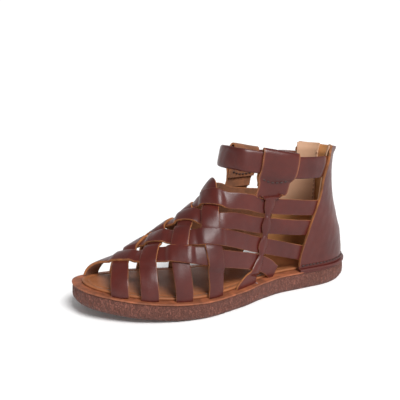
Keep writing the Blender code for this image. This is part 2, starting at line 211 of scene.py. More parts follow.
def colour(name, text, default):
    return FloatVectorProperty(name=name, description=text, default=default, size=3, min=0, max=1,
                               subtype="COLOR")


class SandalSizes(bpy.types.PropertyGroup):
    crown: length("Strap crown", "How far the middle of a strap stands above its edges", 0.00035)
    cut_edge: length("Cut edge", "Rounding of the cut edges of the leather", 0.00035)
    crease: length("Crease depth", "Depth of the soft creases in the leather", 0.00013)
    crumple: length("Crumple", "Depth of the folds in the ankle strap", 0.00060)
    wrinkle: length("Crepe wrinkles", "Depth of the upright wrinkles in the side of the sole", 0.00036)
    groove: length("Tread groove", "Depth of the wavy grooves under the sole", 0.00050)
    stitch: length("Stitch length", "Length of one stitch", 0.0033)
    pitch: length("Stitch pitch", "Distance from one stitch to the next", 0.0038)
    thread: length("Thread", "Width of the sewing thread", 0.0015)


class SandalColours(bpy.types.PropertyGroup):
    leather: colour("Leather", "Grain side of the upper", (0.088, 0.0125, 0.0080))
    shade: colour("Leather shade", "Darker clouds in the grain side", (0.058, 0.0074, 0.0052))
    flesh: colour("Flesh side", "Inside of the straps", (0.250, 0.085, 0.028))
    edge: colour("Cut edge", "Raw cut edges of the leather", (0.450, 0.165, 0.054))
    inside: colour("Counter inside", "Unlined inside of the heel counter", (0.560, 0.250, 0.088))
    lining: colour("Lining", "Natural lining leather", (0.620, 0.360, 0.220))
    insole: colour("Insole", "Smooth leather insole", (0.340, 0.120, 0.046))
    midsole: colour("Midsole edge", "Cut edge of the midsole", (0.370, 0.110, 0.044))
    rubber: colour("Crepe rubber", "Reddish brown sole", (0.240, 0.088, 0.063))
    thread: colour("Thread", "Sewing thread", (0.050, 0.015, 0.011))
    floor: colour("Floor", "Studio floor", (0.970, 0.970, 0.970))


# Curves of the last and the sole

def curve(table, column, at):
    """Smooth curve through one column of a table, read at its first column."""
    rows = sorted(table)
    xs = np.array([row[0] for row in rows])
    ys = np.array([row[column] for row in rows])
    at = np.clip(np.asarray(at, float), xs[0], xs[-1])
    step = np.diff(xs)
    rise = np.diff(ys) / step
    both = rise[:-1] * rise[1:]
    total = rise[:-1] + rise[1:]
    slope = np.zeros_like(ys)
    slope[1:-1] = np.where(both > 0, 2 * both / np.where(total == 0, 1, total), 0)
    slope[0], slope[-1] = rise[0], rise[-1]
    i = np.clip(np.searchsorted(xs, at) - 1, 0, len(step) - 1)
    t = (at - xs[i]) / step[i]
    near = (1 + 2 * t) * (1 - t) ** 2 * ys[i] + t * (1 - t) ** 2 * step[i] * slope[i]
    far = t * t * (3 - 2 * t) * ys[i + 1] + t * t * (t - 1) * step[i] * slope[i + 1]
    return near + far


def ramp(low, high, at):
    t = np.clip((np.asarray(at, float) - low) / (high - low), 0, 1)
    return t * t * (3 - 2 * t)


def station(x):
    return x / SOLE_LENGTH + 0.5


def along(share):
    return (share - 0.5) * SOLE_LENGTH


def sole_centre(s):
    return curve(OUTLINE, 1, s) * BALL_WIDTH


def sole_half(s):
    toe = np.clip((s - (1 - TOE_ROUND)) / TOE_ROUND, 0, 1)
    heel = np.clip((HEEL_ROUND - s) / HEEL_ROUND, 0, 1)
    caps = (1 - toe**TOE_POWER) ** (1 / TOE_POWER) * np.sqrt(1 - heel**2)
    return curve(OUTLINE, 2, s) * BALL_WIDTH * caps


def spring(s):
    return TOE_SPRING * np.clip((s - 0.60) / 0.40, 0, 1) ** 2


def rim(s):
    """Height of the midsole's top."""
    return HEEL_STACK + (BALL_STACK - HEEL_STACK) * ramp(0.30, 0.62, s) + spring(s)


def outline(inset, count):
    """Left and right edge points at the same stations, from heel to toe, and their inward ways."""
    s = (1 - np.cos(np.linspace(0, math.pi, count // 2 + 1))) / 2
    middle, half = sole_centre(s), sole_half(s)
    loop = np.r_[np.c_[along(s), middle + half], np.c_[along(s), middle - half][-2:0:-1]]
    run = np.roll(loop, -1, 0) - np.roll(loop, 1, 0)
    inward = np.c_[run[:, 1], -run[:, 0]] / np.linalg.norm(run, axis=1)[:, None]
    return loop + inward * np.reshape(inset, (-1, 1)), inward


def last_terms(x, z):
    """Half width and closing term of the last at any (x, z)."""
    s = station(x)
    floor = rim(s)
    h = z / COLLAR_HEIGHT
    front, back, widest = (along(curve(PROFILE, k, h)) for k in (1, 2, 3))
    crest_rows = [(row[1], row[0]) for row in PROFILE]
    crest = curve(crest_rows, 1, s) * COLLAR_HEIGHT
    crest = crest + np.clip(along(PROFILE[-1][1]) - x, 0, None) * 12
    rear = (1 - ramp(0.32, 0.62, s)) * ramp(0, 0.33, (z - floor) / COLLAR_HEIGHT)
    half = np.maximum(sole_half(np.clip(s, 0, 1)) / heel_relief(s) - UPPER_INSET, GAP)
    half = half * (1 - rear) + curve(ANKLE, 1, h) * ANKLE_WIDTH * rear
    middle = sole_centre(s) * (1 - rear)
    ahead = np.where(x > widest, (x - widest) / (front - widest), (widest - x) / (widest - back))
    power = np.where(x > widest, 3.0 - ramp(0.16, 0.66, h), 2.1)
    up = np.clip((z - floor) / (crest - floor), 0, None)
    share = ramp(0.38, 0.66, s)
    closing = share * up**2.1 + (1 - share) * np.abs(ahead) ** power
    return middle, half, closing


def heel_relief(s):
    """The last rounds its own heel, so the sole's heel rounding is taken out of its width."""
    heel = np.clip((HEEL_ROUND - s) / HEEL_ROUND, 0, 0.985)
    return np.sqrt(1 - heel**2)


def field(p):
    middle, half, closing = last_terms(p[:, 0], p[:, 2])
    return (np.abs(p[:, 1] - middle) / half) ** 2.15 + closing - 1


def gradient(p, h=2e-5):
    steps = np.eye(3) * h
    return np.stack([(field(p + d) - field(p - d)) / (2 * h) for d in steps], axis=1)


def on_last(points, rounds=12):
    """Nearest points of the last, and the directions that face out there."""
    p = np.array(points, float).reshape(-1, 3)
    for _ in range(rounds):
        slope = gradient(p)
        size = np.maximum((slope * slope).sum(1), 1e-9)
        move = -(field(p) / size)[:, None] * slope
        far = np.linalg.norm(move, axis=1)[:, None]
        p = p + move * np.minimum(1, 0.006 / np.maximum(far, 1e-12))
    slope = gradient(p)
    return p, slope / np.linalg.norm(slope, axis=1)[:, None]


def side_points(x, z, side):
    """Points of the last on one side, at the given x and z."""
    x, z = np.broadcast_arrays(np.asarray(x, float), np.asarray(z, float))
    middle, half, closing = last_terms(x.ravel(), z.ravel())
    reach = half * np.clip(1 - closing, 0, None) ** (1 / 2.15)
    return np.c_[x.ravel(), middle + side * reach, z.ravel()]


def smooth_line(points, step):
    """Smooth curve through the points, in even steps, and the length run at each."""
    p = np.array(points)
    ends = np.r_[[2 * p[0] - p[1]], p, [2 * p[-1] - p[-2]]]
    fine = []
    for a, b, c, d in zip(ends, ends[1:], ends[2:], ends[3:]):
        for t in np.linspace(0, 1, 12, endpoint=False):
            fine.append(b + 0.5 * t * (c - a + t * (2 * a - 5 * b + 4 * c - d
                                                    + t * (3 * (b - c) + d - a))))
    fine = np.array(fine + [p[-1]])
    return even(fine, step)


def even(line, step):
    run = np.r_[0, np.cumsum(np.linalg.norm(np.diff(line, axis=0), axis=1))]
    want = np.linspace(0, run[-1], int(run[-1] / step) + 1)
    return np.stack([np.interp(want, run, line[:, k]) for k in range(line.shape[1])], axis=1), want


def strap_path(row):
    side, foot, sx, sz, crest, ax, az, bx, bz, tx, tz, hx, hz = row
    high = COLLAR_HEIGHT
    foot_z = float(rim(foot)) - GAP
    top = float(curve([(r[1], r[0]) for r in PROFILE], 1, crest)) * high
    guides = [side_points(along(foot), foot_z, side)[0], side_points(along(sx), sz * high, side)[0]]
    guides.append((along(crest), float(sole_centre(crest)), top))
    for x, z in ((ax, az), (bx, bz), (tx, tz), (hx, hz)):
        guides.append(side_points(along(x), z * high, -side)[0])
    line, _ = smooth_line(guides, 0.0015)
    line, run = even(on_last(line)[0], 0.0015)
    return on_last(line)[0], run


def crossing(one, two):
    """Place along each path where two paths come closest."""
    apart = np.linalg.norm(one[0][:, None] - two[0][None], axis=2)
    i, j = np.unravel_index(apart.argmin(), apart.shape)
    return one[1][i], two[1][j], apart[i, j]


def stretch(path, at, reach=STRAP_WIDTH * 1.4):
    """Close points of a path on both sides of a place along it."""
    points, run = path
    want = np.linspace(max(at - reach, 0), min(at + reach, run[-1]), 41)
    return np.stack([np.interp(want, run, points[:, k]) for k in range(3)], axis=1)


def climb(below, spots):
    """Lift that carries a strap over the straps whose stretches are given."""
    low = STRAP_WIDTH / 2 + GAP
    most = np.zeros(len(spots))
    for line in below:
        away = np.linalg.norm(spots[:, None] - line[None], axis=2).min(1)
        most = np.maximum(most, 1 - ramp(low, low + STRAP_WIDTH * 0.36, away))
    return most * (STRAP_THICK + GAP * 0.7)


def waves(points, size, seed, stretched=(1, 1, 1)):
    """Soft seeded relief between -1 and 1, about the given size from crest to crest."""
    random = np.random.default_rng(seed)
    total = np.zeros(len(points))
    for _ in range(7):
        way = random.normal(size=3)
        way *= np.array(stretched) / np.linalg.norm(way)
        total += np.sin(points @ way * (math.tau / size * random.uniform(0.7, 1.5))
                        + random.uniform(0, math.tau))
    return total / 3.2


# Mesh making

def grid_mesh(points, closed=False, turned=None):
    """Grid of faces whose corners are laid on rows and columns of points. Rows past the one
    where the leather is turned over take the second skin."""
    rows, columns = points.shape[:2]
    mesh = bmesh.new()
    edge = mesh.verts.layers.float.new("edge")
    bmesh.ops.create_grid(mesh, x_segments=columns - 1, y_segments=rows - 1, size=1)
    for face in mesh.faces:
        row = (face.calc_center_median().y + 1) / 2 * (rows - 1)
        face.material_index = int(turned is not None and row > turned)
    for vert in mesh.verts:
        column = round((vert.co.x + 1) / 2 * (columns - 1))
        row = round((vert.co.y + 1) / 2 * (rows - 1))
        vert[edge] = abs(vert.co.x)
        vert.co = points[row, column]
    if closed:
        bmesh.ops.remove_doubles(mesh, verts=mesh.verts, dist=1e-6)
    return mesh


def face_out(mesh):
    """Turns an open sheet so that its faces look away from the last."""
    mesh.normal_update()
    mesh.faces.ensure_lookup_table()
    face = mesh.faces[len(mesh.faces) // 3]
    way = on_last([face.calc_center_median()])[1][0]
    if face.normal.dot(way.tolist()) < 0:
        bmesh.ops.reverse_faces(mesh, faces=mesh.faces)


def make(name, mesh, skins, slot, *nodes):
    """Object from a mesh, which rides the shoe and takes its finish from its skins; the slot is not used."""
    for face in mesh.faces:
        face.smooth = True
    data = bpy.data.meshes.new(name)
    mesh.to_mesh(data)
    mesh.free()
    for skin in skins:
        data.materials.append(skin)
    piece = bpy.data.objects.new(name, data)
    bpy.context.scene.collection.objects.link(piece)
    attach(piece, "root")
    if nodes:
        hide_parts(*nodes)
    return piece


def leather_sheet(name, points, thick, skins, slot, nodes=("upper",), turned=None,
                  edge_wide=1):
    """Sheet with a flesh side, a grain side and rounded cut edges."""
    mesh = grid_mesh(points, turned=turned)
    edge = mesh.verts.layers.float["edge"]
    for vert in mesh.verts:
        vert[edge] **= edge_wide
    face_out(mesh)
    piece = make(name, mesh, skins, slot, *nodes)
    solid = piece.modifiers.new("Thickness", "SOLIDIFY")
    solid.thickness = thick
    solid.offset = 1
    solid.use_even_offset = True
    solid.material_offset = 1
    solid.material_offset_rim = 2
    soft = piece.modifiers.new("Cut edge", "BEVEL")
    soft.width = min(bpy.context.scene.sandal_sizes.cut_edge, thick * 0.3)
    soft.segments = 2
    soft.profile = 0.5
    soft.limit_method = "ANGLE"
    soft.angle_limit = math.radians(50)
    return piece


def stacked(rings, count, across, dish=None):
    """Closed slab from rings of (inset, height), bottom ring first, each value one number or
    one for each point of the outline; both ends are closed by a grid that dish can press."""
    sides = []
    for inset, height in rings:
        loop, _ = outline(inset, count)
        s = np.clip(station(loop[:, 0]), 0, 1)
        spots = np.c_[loop, height(s) if callable(height) else height]
        sides.append(np.r_[spots, spots[:1]])
    mesh = grid_mesh(np.array(sides))
    for k, ring in enumerate((sides[0], sides[-1])):
        left, right = ring[:count // 2 + 1], ring[::-1][:count // 2 + 1]
        share = np.linspace(0, 1, across)[None, :, None]
        cap = left[:, None] * (1 - share) + right[:, None] * share
        if dish:
            cap = dish(cap, k)
        lid = bpy.data.meshes.new("lid")
        part = grid_mesh(cap)
        part.to_mesh(lid)
        part.free()
        mesh.from_mesh(lid)
        bpy.data.meshes.remove(lid)
    bmesh.ops.remove_doubles(mesh, verts=mesh.verts, dist=2e-6)
    bmesh.ops.recalc_face_normals(mesh, faces=mesh.faces)
    return mesh


def sew(mesh, line, outward):
    """Row of stitches along a line, each lying flat on the leather."""
    sizes = bpy.context.scene.sandal_sizes
    spots, run = even(line, sizes.pitch)
    near = np.linalg.norm(spots[:, None] - line[None], axis=2).argmin(1)
    spots = np.c_[spots, outward[near]]
    spots = (spots[1:] + spots[:-1]) / 2
    for i, spot in enumerate(spots):
        ahead = Vector(spots[min(i + 1, len(spots) - 1)][:3] - spots[max(i - 1, 0)][:3]).normalized()
        up = Vector(spot[3:]).normalized()
        aside = up.cross(ahead).normalized()
        up = ahead.cross(aside)
        turn = Matrix((ahead * sizes.stitch / 2, aside * sizes.thread / 2,
                       up * sizes.thread / 2)).transposed().to_4x4()
        turn.translation = Vector(spot[:3])
        bmesh.ops.create_uvsphere(mesh, u_segments=8, v_segments=6, radius=1, matrix=turn)


# Materials

def add(tree, kind, inputs=None, **settings):
    node = tree.nodes.new(kind)
    for name, value in settings.items():
        setattr(node, name, value)
    for name, value in (inputs or {}).items():
        if isinstance(value, bpy.types.NodeSocket):
            tree.links.new(value, node.inputs[name])
        else:
            node.inputs[name].default_value = value
    return node


def new_group(name, inputs, outputs):
    tree = bpy.data.node_groups.new(name, "ShaderNodeTree")
    tree.interface.new_socket("Vector", in_out="INPUT", socket_type="NodeSocketVector")
    for label, value in inputs.items():
        socket = tree.interface.new_socket(label, in_out="INPUT", socket_type="NodeSocketFloat")
        socket.default_value = value
    for label in outputs:
        tree.interface.new_socket(label, in_out="OUTPUT", socket_type="NodeSocketFloat")
    return tree, add(tree, "NodeGroupInput").outputs, add(tree, "NodeGroupOutput").inputs


def maths(tree, operation, one, two=0.0, clamp=False):
    return add(tree, "ShaderNodeMath", {0: one, 1: two}, operation=operation, use_clamp=clamp).outputs[0]


def grain_group():
    """Pebbles, fine creases, pores and clouds of a smooth tanned hide."""
    name = "Leather grain"
    if name in bpy.data.node_groups:
        return bpy.data.node_groups[name]
    tree, given, out = new_group(name, {"Pebbles": 1300, "Creases": 130, "Crease depth": 0.22},
                                 ("Height", "Clouds", "Pores"))
    pebbles = add(tree, "ShaderNodeTexVoronoi", {"Vector": given["Vector"], "Scale": given["Pebbles"]},
                  feature="SMOOTH_F1")
    fine = add(tree, "ShaderNodeTexNoise", {"Vector": given["Vector"], "Scale": given["Pebbles"],
                                            "Detail": 3})
    folds = add(tree, "ShaderNodeTexNoise", {"Vector": given["Vector"], "Scale": given["Creases"],
                                             "Detail": 4, "Distortion": 0.8})
    line = maths(tree, "ABSOLUTE", maths(tree, "SUBTRACT", folds.outputs[0], 0.5))
    line = maths(tree, "MULTIPLY", line, 9.0, clamp=True)
    line = maths(tree, "MULTIPLY", line, given["Crease depth"])
    relief = maths(tree, "ADD", maths(tree, "MULTIPLY", pebbles.outputs["Distance"], -0.45),
                   maths(tree, "MULTIPLY", fine.outputs[0], 0.3))
    tree.links.new(maths(tree, "ADD", relief, line), out["Height"])
    clouds = add(tree, "ShaderNodeTexNoise", {"Vector": given["Vector"], "Scale": 42, "Detail": 5,
                                              "Roughness": 0.6})
    spread = add(tree, "ShaderNodeMapRange", {"Value": clouds.outputs[0], "From Min": 0.35,
                                              "From Max": 0.68})
    tree.links.new(spread.outputs[0], out["Clouds"])
    pores = maths(tree, "LESS_THAN", pebbles.outputs["Distance"], 0.16)
    tree.links.new(pores, out["Pores"])
    return tree


def fibre_group():
    """Loose fibres of a flesh side or a cut edge."""
    name = "Leather fibres"
    if name in bpy.data.node_groups:
        return bpy.data.node_groups[name]
    tree, given, out = new_group(name, {"Fibres": 1800, "Patches": 120}, ("Height", "Patches"))
    fuzz = add(tree, "ShaderNodeTexNoise", {"Vector": given["Vector"], "Scale": given["Fibres"],
                                            "Detail": 4, "Roughness": 0.7})
    patch = add(tree, "ShaderNodeTexNoise", {"Vector": given["Vector"], "Scale": given["Patches"],
                                             "Detail": 4, "Distortion": 0.5})
    tree.links.new(fuzz.outputs[0], out["Height"])
    spread = add(tree, "ShaderNodeMapRange", {"Value": patch.outputs[0], "From Min": 0.33,
                                              "From Max": 0.7})
    tree.links.new(spread.outputs[0], out["Patches"])
    return tree


def new_material(name, roughness, **constants):
    made = bpy.data.materials.new(name)
    made.use_nodes = True
    tree = made.node_tree
    shader = tree.nodes["Principled BSDF"]
    shader.inputs["Roughness"].default_value = roughness
    for label, value in constants.items():
        shader.inputs[label.replace("_", " ")].default_value = value
    place = tree.nodes.new("ShaderNodeTexCoord").outputs["Object"]
    return made, tree, shader, place


def placed(tree, group, inputs):
    node = tree.nodes.new("ShaderNodeGroup")
    node.node_tree = group
    for name, value in inputs.items():
        if isinstance(value, bpy.types.NodeSocket):
            tree.links.new(value, node.inputs[name])
        else:
            node.inputs[name].default_value = value
    return node.outputs


def mixed(tree, share, one, two):
    node = add(tree, "ShaderNodeMix", data_type="RGBA")
    for slot, value in ((0, share), (6, one), (7, two)):
        if isinstance(value, bpy.types.NodeSocket):
            tree.links.new(value, node.inputs[slot])
        else:
            node.inputs[slot].default_value = value if slot == 0 else (*value, 1)
    return node.outputs[2]


def ranged(tree, value, low, high):
    return add(tree, "ShaderNodeMapRange", {"Value": value, "To Min": low, "To Max": high}).outputs[0]


def bumped(tree, shader, height, distance, strength=1.0):
    bump = add(tree, "ShaderNodeBump", {"Height": height, "Distance": distance, "Strength": strength})
    tree.links.new(bump.outputs[0], shader.inputs["Normal"])


def grain_leather(name, main, shade, rough, depth, worn=None, **constants):
    """Smooth grain side: clouds of colour, pores, soft creases, and a worn line at the edge."""
    if name in bpy.data.materials:
        return bpy.data.materials[name]
    made, tree, shader, place = new_material(name, rough, **constants)
    grain = placed(tree, grain_group(), {"Vector": place})
    tone = mixed(tree, grain["Clouds"], shade, main)
    tone = mixed(tree, maths(tree, "MULTIPLY", grain["Pores"], 0.35), tone, shade)
    if worn:
        edge = add(tree, "ShaderNodeAttribute", attribute_name="edge").outputs["Fac"]
        near = add(tree, "ShaderNodeMapRange", {"Value": edge, "From Min": 0.90, "From Max": 1.0}).outputs[0]
        near = maths(tree, "MULTIPLY", near, maths(tree, "MULTIPLY", grain["Clouds"], 0.5))
        tone = mixed(tree, near, tone, worn)
    tree.links.new(tone, shader.inputs["Base Color"])
    tree.links.new(ranged(tree, grain["Clouds"], rough + 0.05, rough - 0.05), shader.inputs["Roughness"])
    bumped(tree, shader, grain["Height"], depth)
    return made


def fibre_leather(name, main, dark, rough, depth, fibres=1800, **constants):
    """Flesh side or cut edge: fibres and uneven stain."""
    if name in bpy.data.materials:
        return bpy.data.materials[name]
    made, tree, shader, place = new_material(name, rough, **constants)
    nap = placed(tree, fibre_group(), {"Vector": place, "Fibres": fibres})
    tree.links.new(mixed(tree, nap["Patches"], dark, main), shader.inputs["Base Color"])
    tree.links.new(ranged(tree, nap["Height"], rough + 0.08, rough - 0.08), shader.inputs["Roughness"])
    bumped(tree, shader, nap["Height"], depth)
    return made


def darker(tone, share):
    return tuple(v * share for v in tone)


def colours():
    return bpy.context.scene.sandal_colours


def burgundy():
    tone = colours()
    return grain_leather("Burgundy leather", tone.leather[:], tone.shade[:], 0.37, 0.00010,
                         worn=tone.edge[:], Specular_IOR_Level=0.40)


def flesh():
    tone = colours().flesh[:]
    return fibre_leather("Brown flesh side", tone, darker(tone, 0.6), 0.85, 0.00015, Sheen_Weight=0.2)


def cut_edge():
    tone = colours().edge[:]
    return fibre_leather("Tan cut edge", tone, darker(tone, 0.45), 0.7, 0.00012, fibres=2400)


def below(tree, place, axis, low, high):
    """Mask that is 1 below a place on one axis and 0 above it."""
    split = add(tree, "ShaderNodeSeparateXYZ", {"Vector": place})
    return add(tree, "ShaderNodeMapRange", {"Value": split.outputs[axis], "From Min": low,
                                            "From Max": high, "To Min": 1, "To Max": 0}).outputs[0]


def stained_edge(name, tone, axis, low, high, fibres):
    """Cut edge that is stained dark below a place on one axis."""
    made = fibre_leather(name, tone, darker(tone, 0.45), 0.65, 0.00012, fibres=fibres)
    tree = made.node_tree
    shader = tree.nodes["Principled BSDF"]
    colour_in = shader.inputs["Base Color"]
    place = next(node for node in tree.nodes if node.type == "TEX_COORD").outputs["Object"]
    stain = mixed(tree, below(tree, place, axis, low, high), colour_in.links[0].from_socket,
                  darker(colours().leather[:], 0.9))
    tree.links.new(stain, colour_in)
    return made


def counter_edge():
    """Cut edge of the counter: tan up the front, stained dark round its foot."""
    return stained_edge("Counter edge", colours().edge[:], 2, 0.0195, 0.0215, 2400)


def crepe():
    """Crepe rubber: upright wrinkles with painted shade in their grooves, cloudy colour and a waxy surface.
    """
    name = "Crepe rubber"
    if name in bpy.data.materials:
        return bpy.data.materials[name]
    tone = colours().rubber[:]
    made, tree, shader, place = new_material(name, 0.62, Specular_IOR_Level=0.3)
    upright = add(tree, "ShaderNodeMapping", {"Vector": place, "Scale": (1, 1, 0.45)}).outputs[0]
    folds = add(tree, "ShaderNodeTexNoise", {"Vector": upright, "Scale": 760, "Detail": 2,
                                             "Roughness": 0.6, "Distortion": 1.1}).outputs[0]
    ribs_and_groove_shade = maths(tree, "ABSOLUTE", maths(tree, "SUBTRACT", folds, 0.5))
    ribs_and_groove_shade = maths(tree, "MULTIPLY", ribs_and_groove_shade, 6.5, clamp=True)
    grit = add(tree, "ShaderNodeTexNoise", {"Vector": place, "Scale": 2200, "Detail": 2}).outputs[0]
    cloud = add(tree, "ShaderNodeTexNoise", {"Vector": upright, "Scale": 90, "Detail": 4}).outputs[0]
    spread = add(tree, "ShaderNodeMapRange", {"Value": cloud, "From Min": 0.35, "From Max": 0.7})
    pale = mixed(tree, spread.outputs[0], darker(tone, 0.85), darker(tone, 1.2))
    # The wrinkle grooves are painted dark, at 0.36 of the rubber colour, as painted shade; the ribs take the
    # pale cloudy colour
    tree.links.new(mixed(tree, ribs_and_groove_shade, darker(tone, 0.36), pale), shader.inputs["Base Color"])
    height = maths(tree, "ADD", ribs_and_groove_shade, maths(tree, "MULTIPLY", grit, 0.25))
    bumped(tree, shader, height, 0.0005)
    tree.links.new(ranged(tree, cloud, 0.7, 0.5), shader.inputs["Roughness"])
    return made


# Pieces

class SANDAL_OT_sole(bpy.types.Operator):
    """Make the crepe rubber outsole, the midsole and the insole"""
    bl_idname = "sandal.sole"
    bl_label = "Sole"

    def execute(self, context):
        sizes, tone = context.scene.sandal_sizes, colours()
        count = 900
        loop, _ = outline(0.0, count)
        run = np.linspace(0, 1, count, endpoint=False) * math.tau
        ring = np.c_[np.cos(run), np.sin(run)]

        def wrinkled(inset, up):
            fade = ramp(0, 0.12, up) * ramp(1, 0.9, up)
            spots = np.c_[loop, np.full(count, up * 0.004)]
            folds = waves(spots, 0.0034, 5) + 0.6 * waves(spots, 0.0017, 6)
            dents = ramp(0.1, 0.9, waves(np.c_[ring * 0.09, np.full(count, up * 0.02)], 0.02, 8))
            return inset + sizes.wrinkle * fade * (0.6 + folds * (0.5 + 0.5 * dents))

        low = BALL_STACK * 0.23
        rings = [(low, spring), (low * 0.72, lambda s: spring(s) + 0.0003)]
        for up in np.linspace(0.06, 0.94, 15):
            bulge = BALL_STACK * (0.05 * (2 * up - 1) ** 2 + 0.11 * (1 - ramp(0, 0.25, up)))
            rings.append((wrinkled(bulge, up),
                          lambda s, up=up: spring(s) + (rim(s) - MIDSOLE_THICK * 0.5 - spring(s)) * up))
        rings.append((BALL_STACK * 0.06, lambda s: rim(s) - MIDSOLE_THICK * 0.48 - GAP * 0.3))

        def tread(cap, top):
            if top:
                return cap
            flat = cap.reshape(-1, 3)
            from_side = np.minimum(np.linspace(0, 1, cap.shape[1]), np.linspace(1, 0, cap.shape[1]))
            from_side = np.tile(ramp(0.02, 0.14, from_side), cap.shape[0])
            wave = np.sin((flat[:, 0] + 0.0016 * np.sin(flat[:, 1] * 700)) * math.tau / 0.0065)
            flat[:, 2] += sizes.groove * from_side * ramp(0.1, 0.7, wave)
            return flat.reshape(cap.shape)

        mesh = stacked(rings, count, 27, tread)
        make("outsole_crepe", mesh, [crepe()], "crepe_rubber", "outsole")

        edge = stained_edge("Midsole edge", tone.midsole[:], 0, along(0.255), along(0.262), 1500)
        thick = MIDSOLE_THICK * 0.48
        mesh = stacked((
            (thick * 0.30, lambda s: rim(s) - thick),
            (thick * 0.08, lambda s: rim(s) - thick * 0.93),
            (0.0, lambda s: rim(s) - thick * 0.75),
            (0.0, lambda s: rim(s) - thick * 0.32),
            (thick * 0.06, lambda s: rim(s) - thick * 0.10),
            (thick * 0.25, lambda s: rim(s) - thick * 0.01),
            (thick * 0.50, rim),
        ), 480, 15)
        make("midsole_leather", mesh, [edge], "tan_leather", "midsole")

        top = lambda drop: lambda s: rim(s) + GAP + INSOLE_THICK - drop
        mesh = stacked((
            (INSOLE_INSET + 0.0003, lambda s: rim(s) + GAP * 0.2),
            (INSOLE_INSET, top(0.0013)),
            (INSOLE_INSET + 0.0001, top(0.0006)),
            (INSOLE_INSET + 0.0005, top(0.0001)),
            (INSOLE_INSET + 0.0012, top(0.0)),
            (INSOLE_INSET + 0.0040, top(0.0)),
            (INSOLE_INSET + 0.0043, top(0.0003)),
            (INSOLE_INSET + 0.0048, top(0.0003)),
            (INSOLE_INSET + 0.0051, top(0.0)),
            (INSOLE_INSET + 0.0070, top(0.0)),
        ), 480, 23)
        smooth = grain_leather("Insole leather", tone.insole[:], darker(tone.insole[:], 0.75), 0.5,
                               0.00008, Specular_IOR_Level=0.3)
        make("insole_leather", mesh, [smooth], "insole_leather", "insole")
        return {"FINISHED"}


def woven():
    """Paths of the straps, and the stretches of other straps that each one passes over."""
    paths = [strap_path(row) for row in STRAPS]
    below = [[] for _ in paths]
    count = len(STRAPS) // 2
    for i in range(count):
        for j in range(count):
            outer, inner = paths[i], paths[count + j]
            at_outer, at_inner, apart = crossing(outer, inner)
            if apart > STRAP_WIDTH * 0.4:
                continue
            if (i + j) % 2:
                below[i].append(stretch(inner, at_inner))
            else:
                below[count + j].append(stretch(outer, at_outer))
    return paths, below


class SANDAL_OT_straps(bpy.types.Operator):
    """Make the eight straps that are woven over the foot"""
    bl_idname = "sandal.straps"
    bl_label = "Woven straps"

    def execute(self, context):
        sizes = context.scene.sandal_sizes
        skins = [burgundy(), flesh(), cut_edge()]
        paths, below = woven()
        for i, (path, run) in enumerate(paths):
            centre, out = on_last(path)
            ahead = np.gradient(centre, axis=0)
            aside = np.cross(out, ahead)
            aside /= np.linalg.norm(aside, axis=1)[:, None]
            rest = run[-1] - run
            tuck = -0.0005 * ramp(STRAP_WIDTH * 0.8, STRAP_WIDTH * 0.2, rest)
            shares = np.linspace(-1, 1, 13)[:, None]
            wander = 0.00025 * waves(centre, 0.045, 30 + i)
            reach = (STRAP_WIDTH / 2 * shares + wander)[..., None]
            spot, normal = on_last(centre + aside * reach, 6)
            rise = climb(below[i], spot) + sizes.crease * waves(spot, 0.011, 50 + i)
            rise = rise + (tuck + sizes.crown * (1 - shares**2)).ravel()
            spot = spot + normal * rise[:, None]
            floor = rim(np.clip(station(spot[:, 0]), 0, 1)) - GAP
            spot[:, 2] = np.maximum(spot[:, 2], floor)
            spot = spot.reshape(13, -1, 3).transpose(1, 0, 2)
            side = "outer" if i < 4 else "inner"
            leather_sheet("strap_%s_%d" % (side, i % 4 + 1), spot, STRAP_THICK,
                          skins, "burgundy_leather")
        return {"FINISHED"}


def panel_spots(h, w, off, side):
    """Points on the thong or its panel: height share, width share and stand-off of the last."""
    x0 = along(curve(THONG, 1, h))
    lower = 0.036 * ramp(0.60, 0.65, h) * (side == -1)
    x = x0 + w * curve(THONG, 2, h + lower) * STRAP_WIDTH
    middle = along(0.368)
    tilt = (curve(ANKLE_LINE, 1, station(middle + (x - x0))) - curve(ANKLE_LINE, 1, station(middle)))
    z = (h + tilt * ramp(0.74, 0.86, h)) * COLLAR_HEIGHT
    spot, out = on_last(side_points(x, z, side))
    return spot + out * np.reshape(off, (-1, 1)), out


class SANDAL_OT_thongs(bpy.types.Operator):
    """Make the thong on each side, with the panel that folds over the ankle strap"""
    bl_idname = "sandal.thongs"
    bl_label = "Thongs"

    def execute(self, context):
        sizes = context.scene.sandal_sizes
        skins = [burgundy(), flesh(), cut_edge()]
        paths, _ = woven()
        lower = np.r_[np.linspace(0.112, 0.66, 66), 0.668, 0.674, 0.679, 0.683, 0.687]
        fold, _ = even(smooth_line(np.array(FOLD) * (COLLAR_HEIGHT, 1), 0.0004)[0], 0.0009)
        fold = fold / (COLLAR_HEIGHT, 1)
        shares = np.linspace(-1, 1, 13)
        for side in (1, -1):
            line, _ = panel_spots(lower, 0.0, 0.0, side)
            run = np.r_[0, np.cumsum(np.linalg.norm(np.diff(line, axis=0), axis=1))]
            passed = [paths[i] for i in range(len(paths)) if STRAPS[i][0] == -side]
            below = [stretch(strap, crossing((line, run), strap)[1]) for strap in passed]
            across = np.tile(shares, len(lower))
            flat, out = panel_spots(np.repeat(lower, 13), across, 0.0, side)
            lobe = climb(below, flat)
            rise = lobe * (1 + 0.50 * (1 - across**2)) + 0.0002
            rise = rise + sizes.crease * 0.7 * waves(flat, 0.009, 80)
            foot = flat + out * rise[:, None]
            across = np.tile(shares, len(fold))
            up, off = np.repeat(fold[:, 0], 13), np.repeat(fold[:, 1], 13)
            flat, _ = panel_spots(up, across, 0.0, side)
            off = off + sizes.crease * 1.2 * waves(flat, 0.016, 81)
            top, _ = panel_spots(up, across, off, side)
            spots = np.r_[foot, top]
            floor = rim(np.clip(station(spots[:, 0]), 0, 1)) - GAP
            spots[:, 2] = np.maximum(spots[:, 2], floor)
            name = "thong_outer" if side == 1 else "thong_inner"
            leather_sheet(name, spots.reshape(-1, 13, 3), LOOP_THICK, skins, "burgundy_leather",
                          turned=len(lower) + fold[:, 0].argmax())
        return {"FINISHED"}


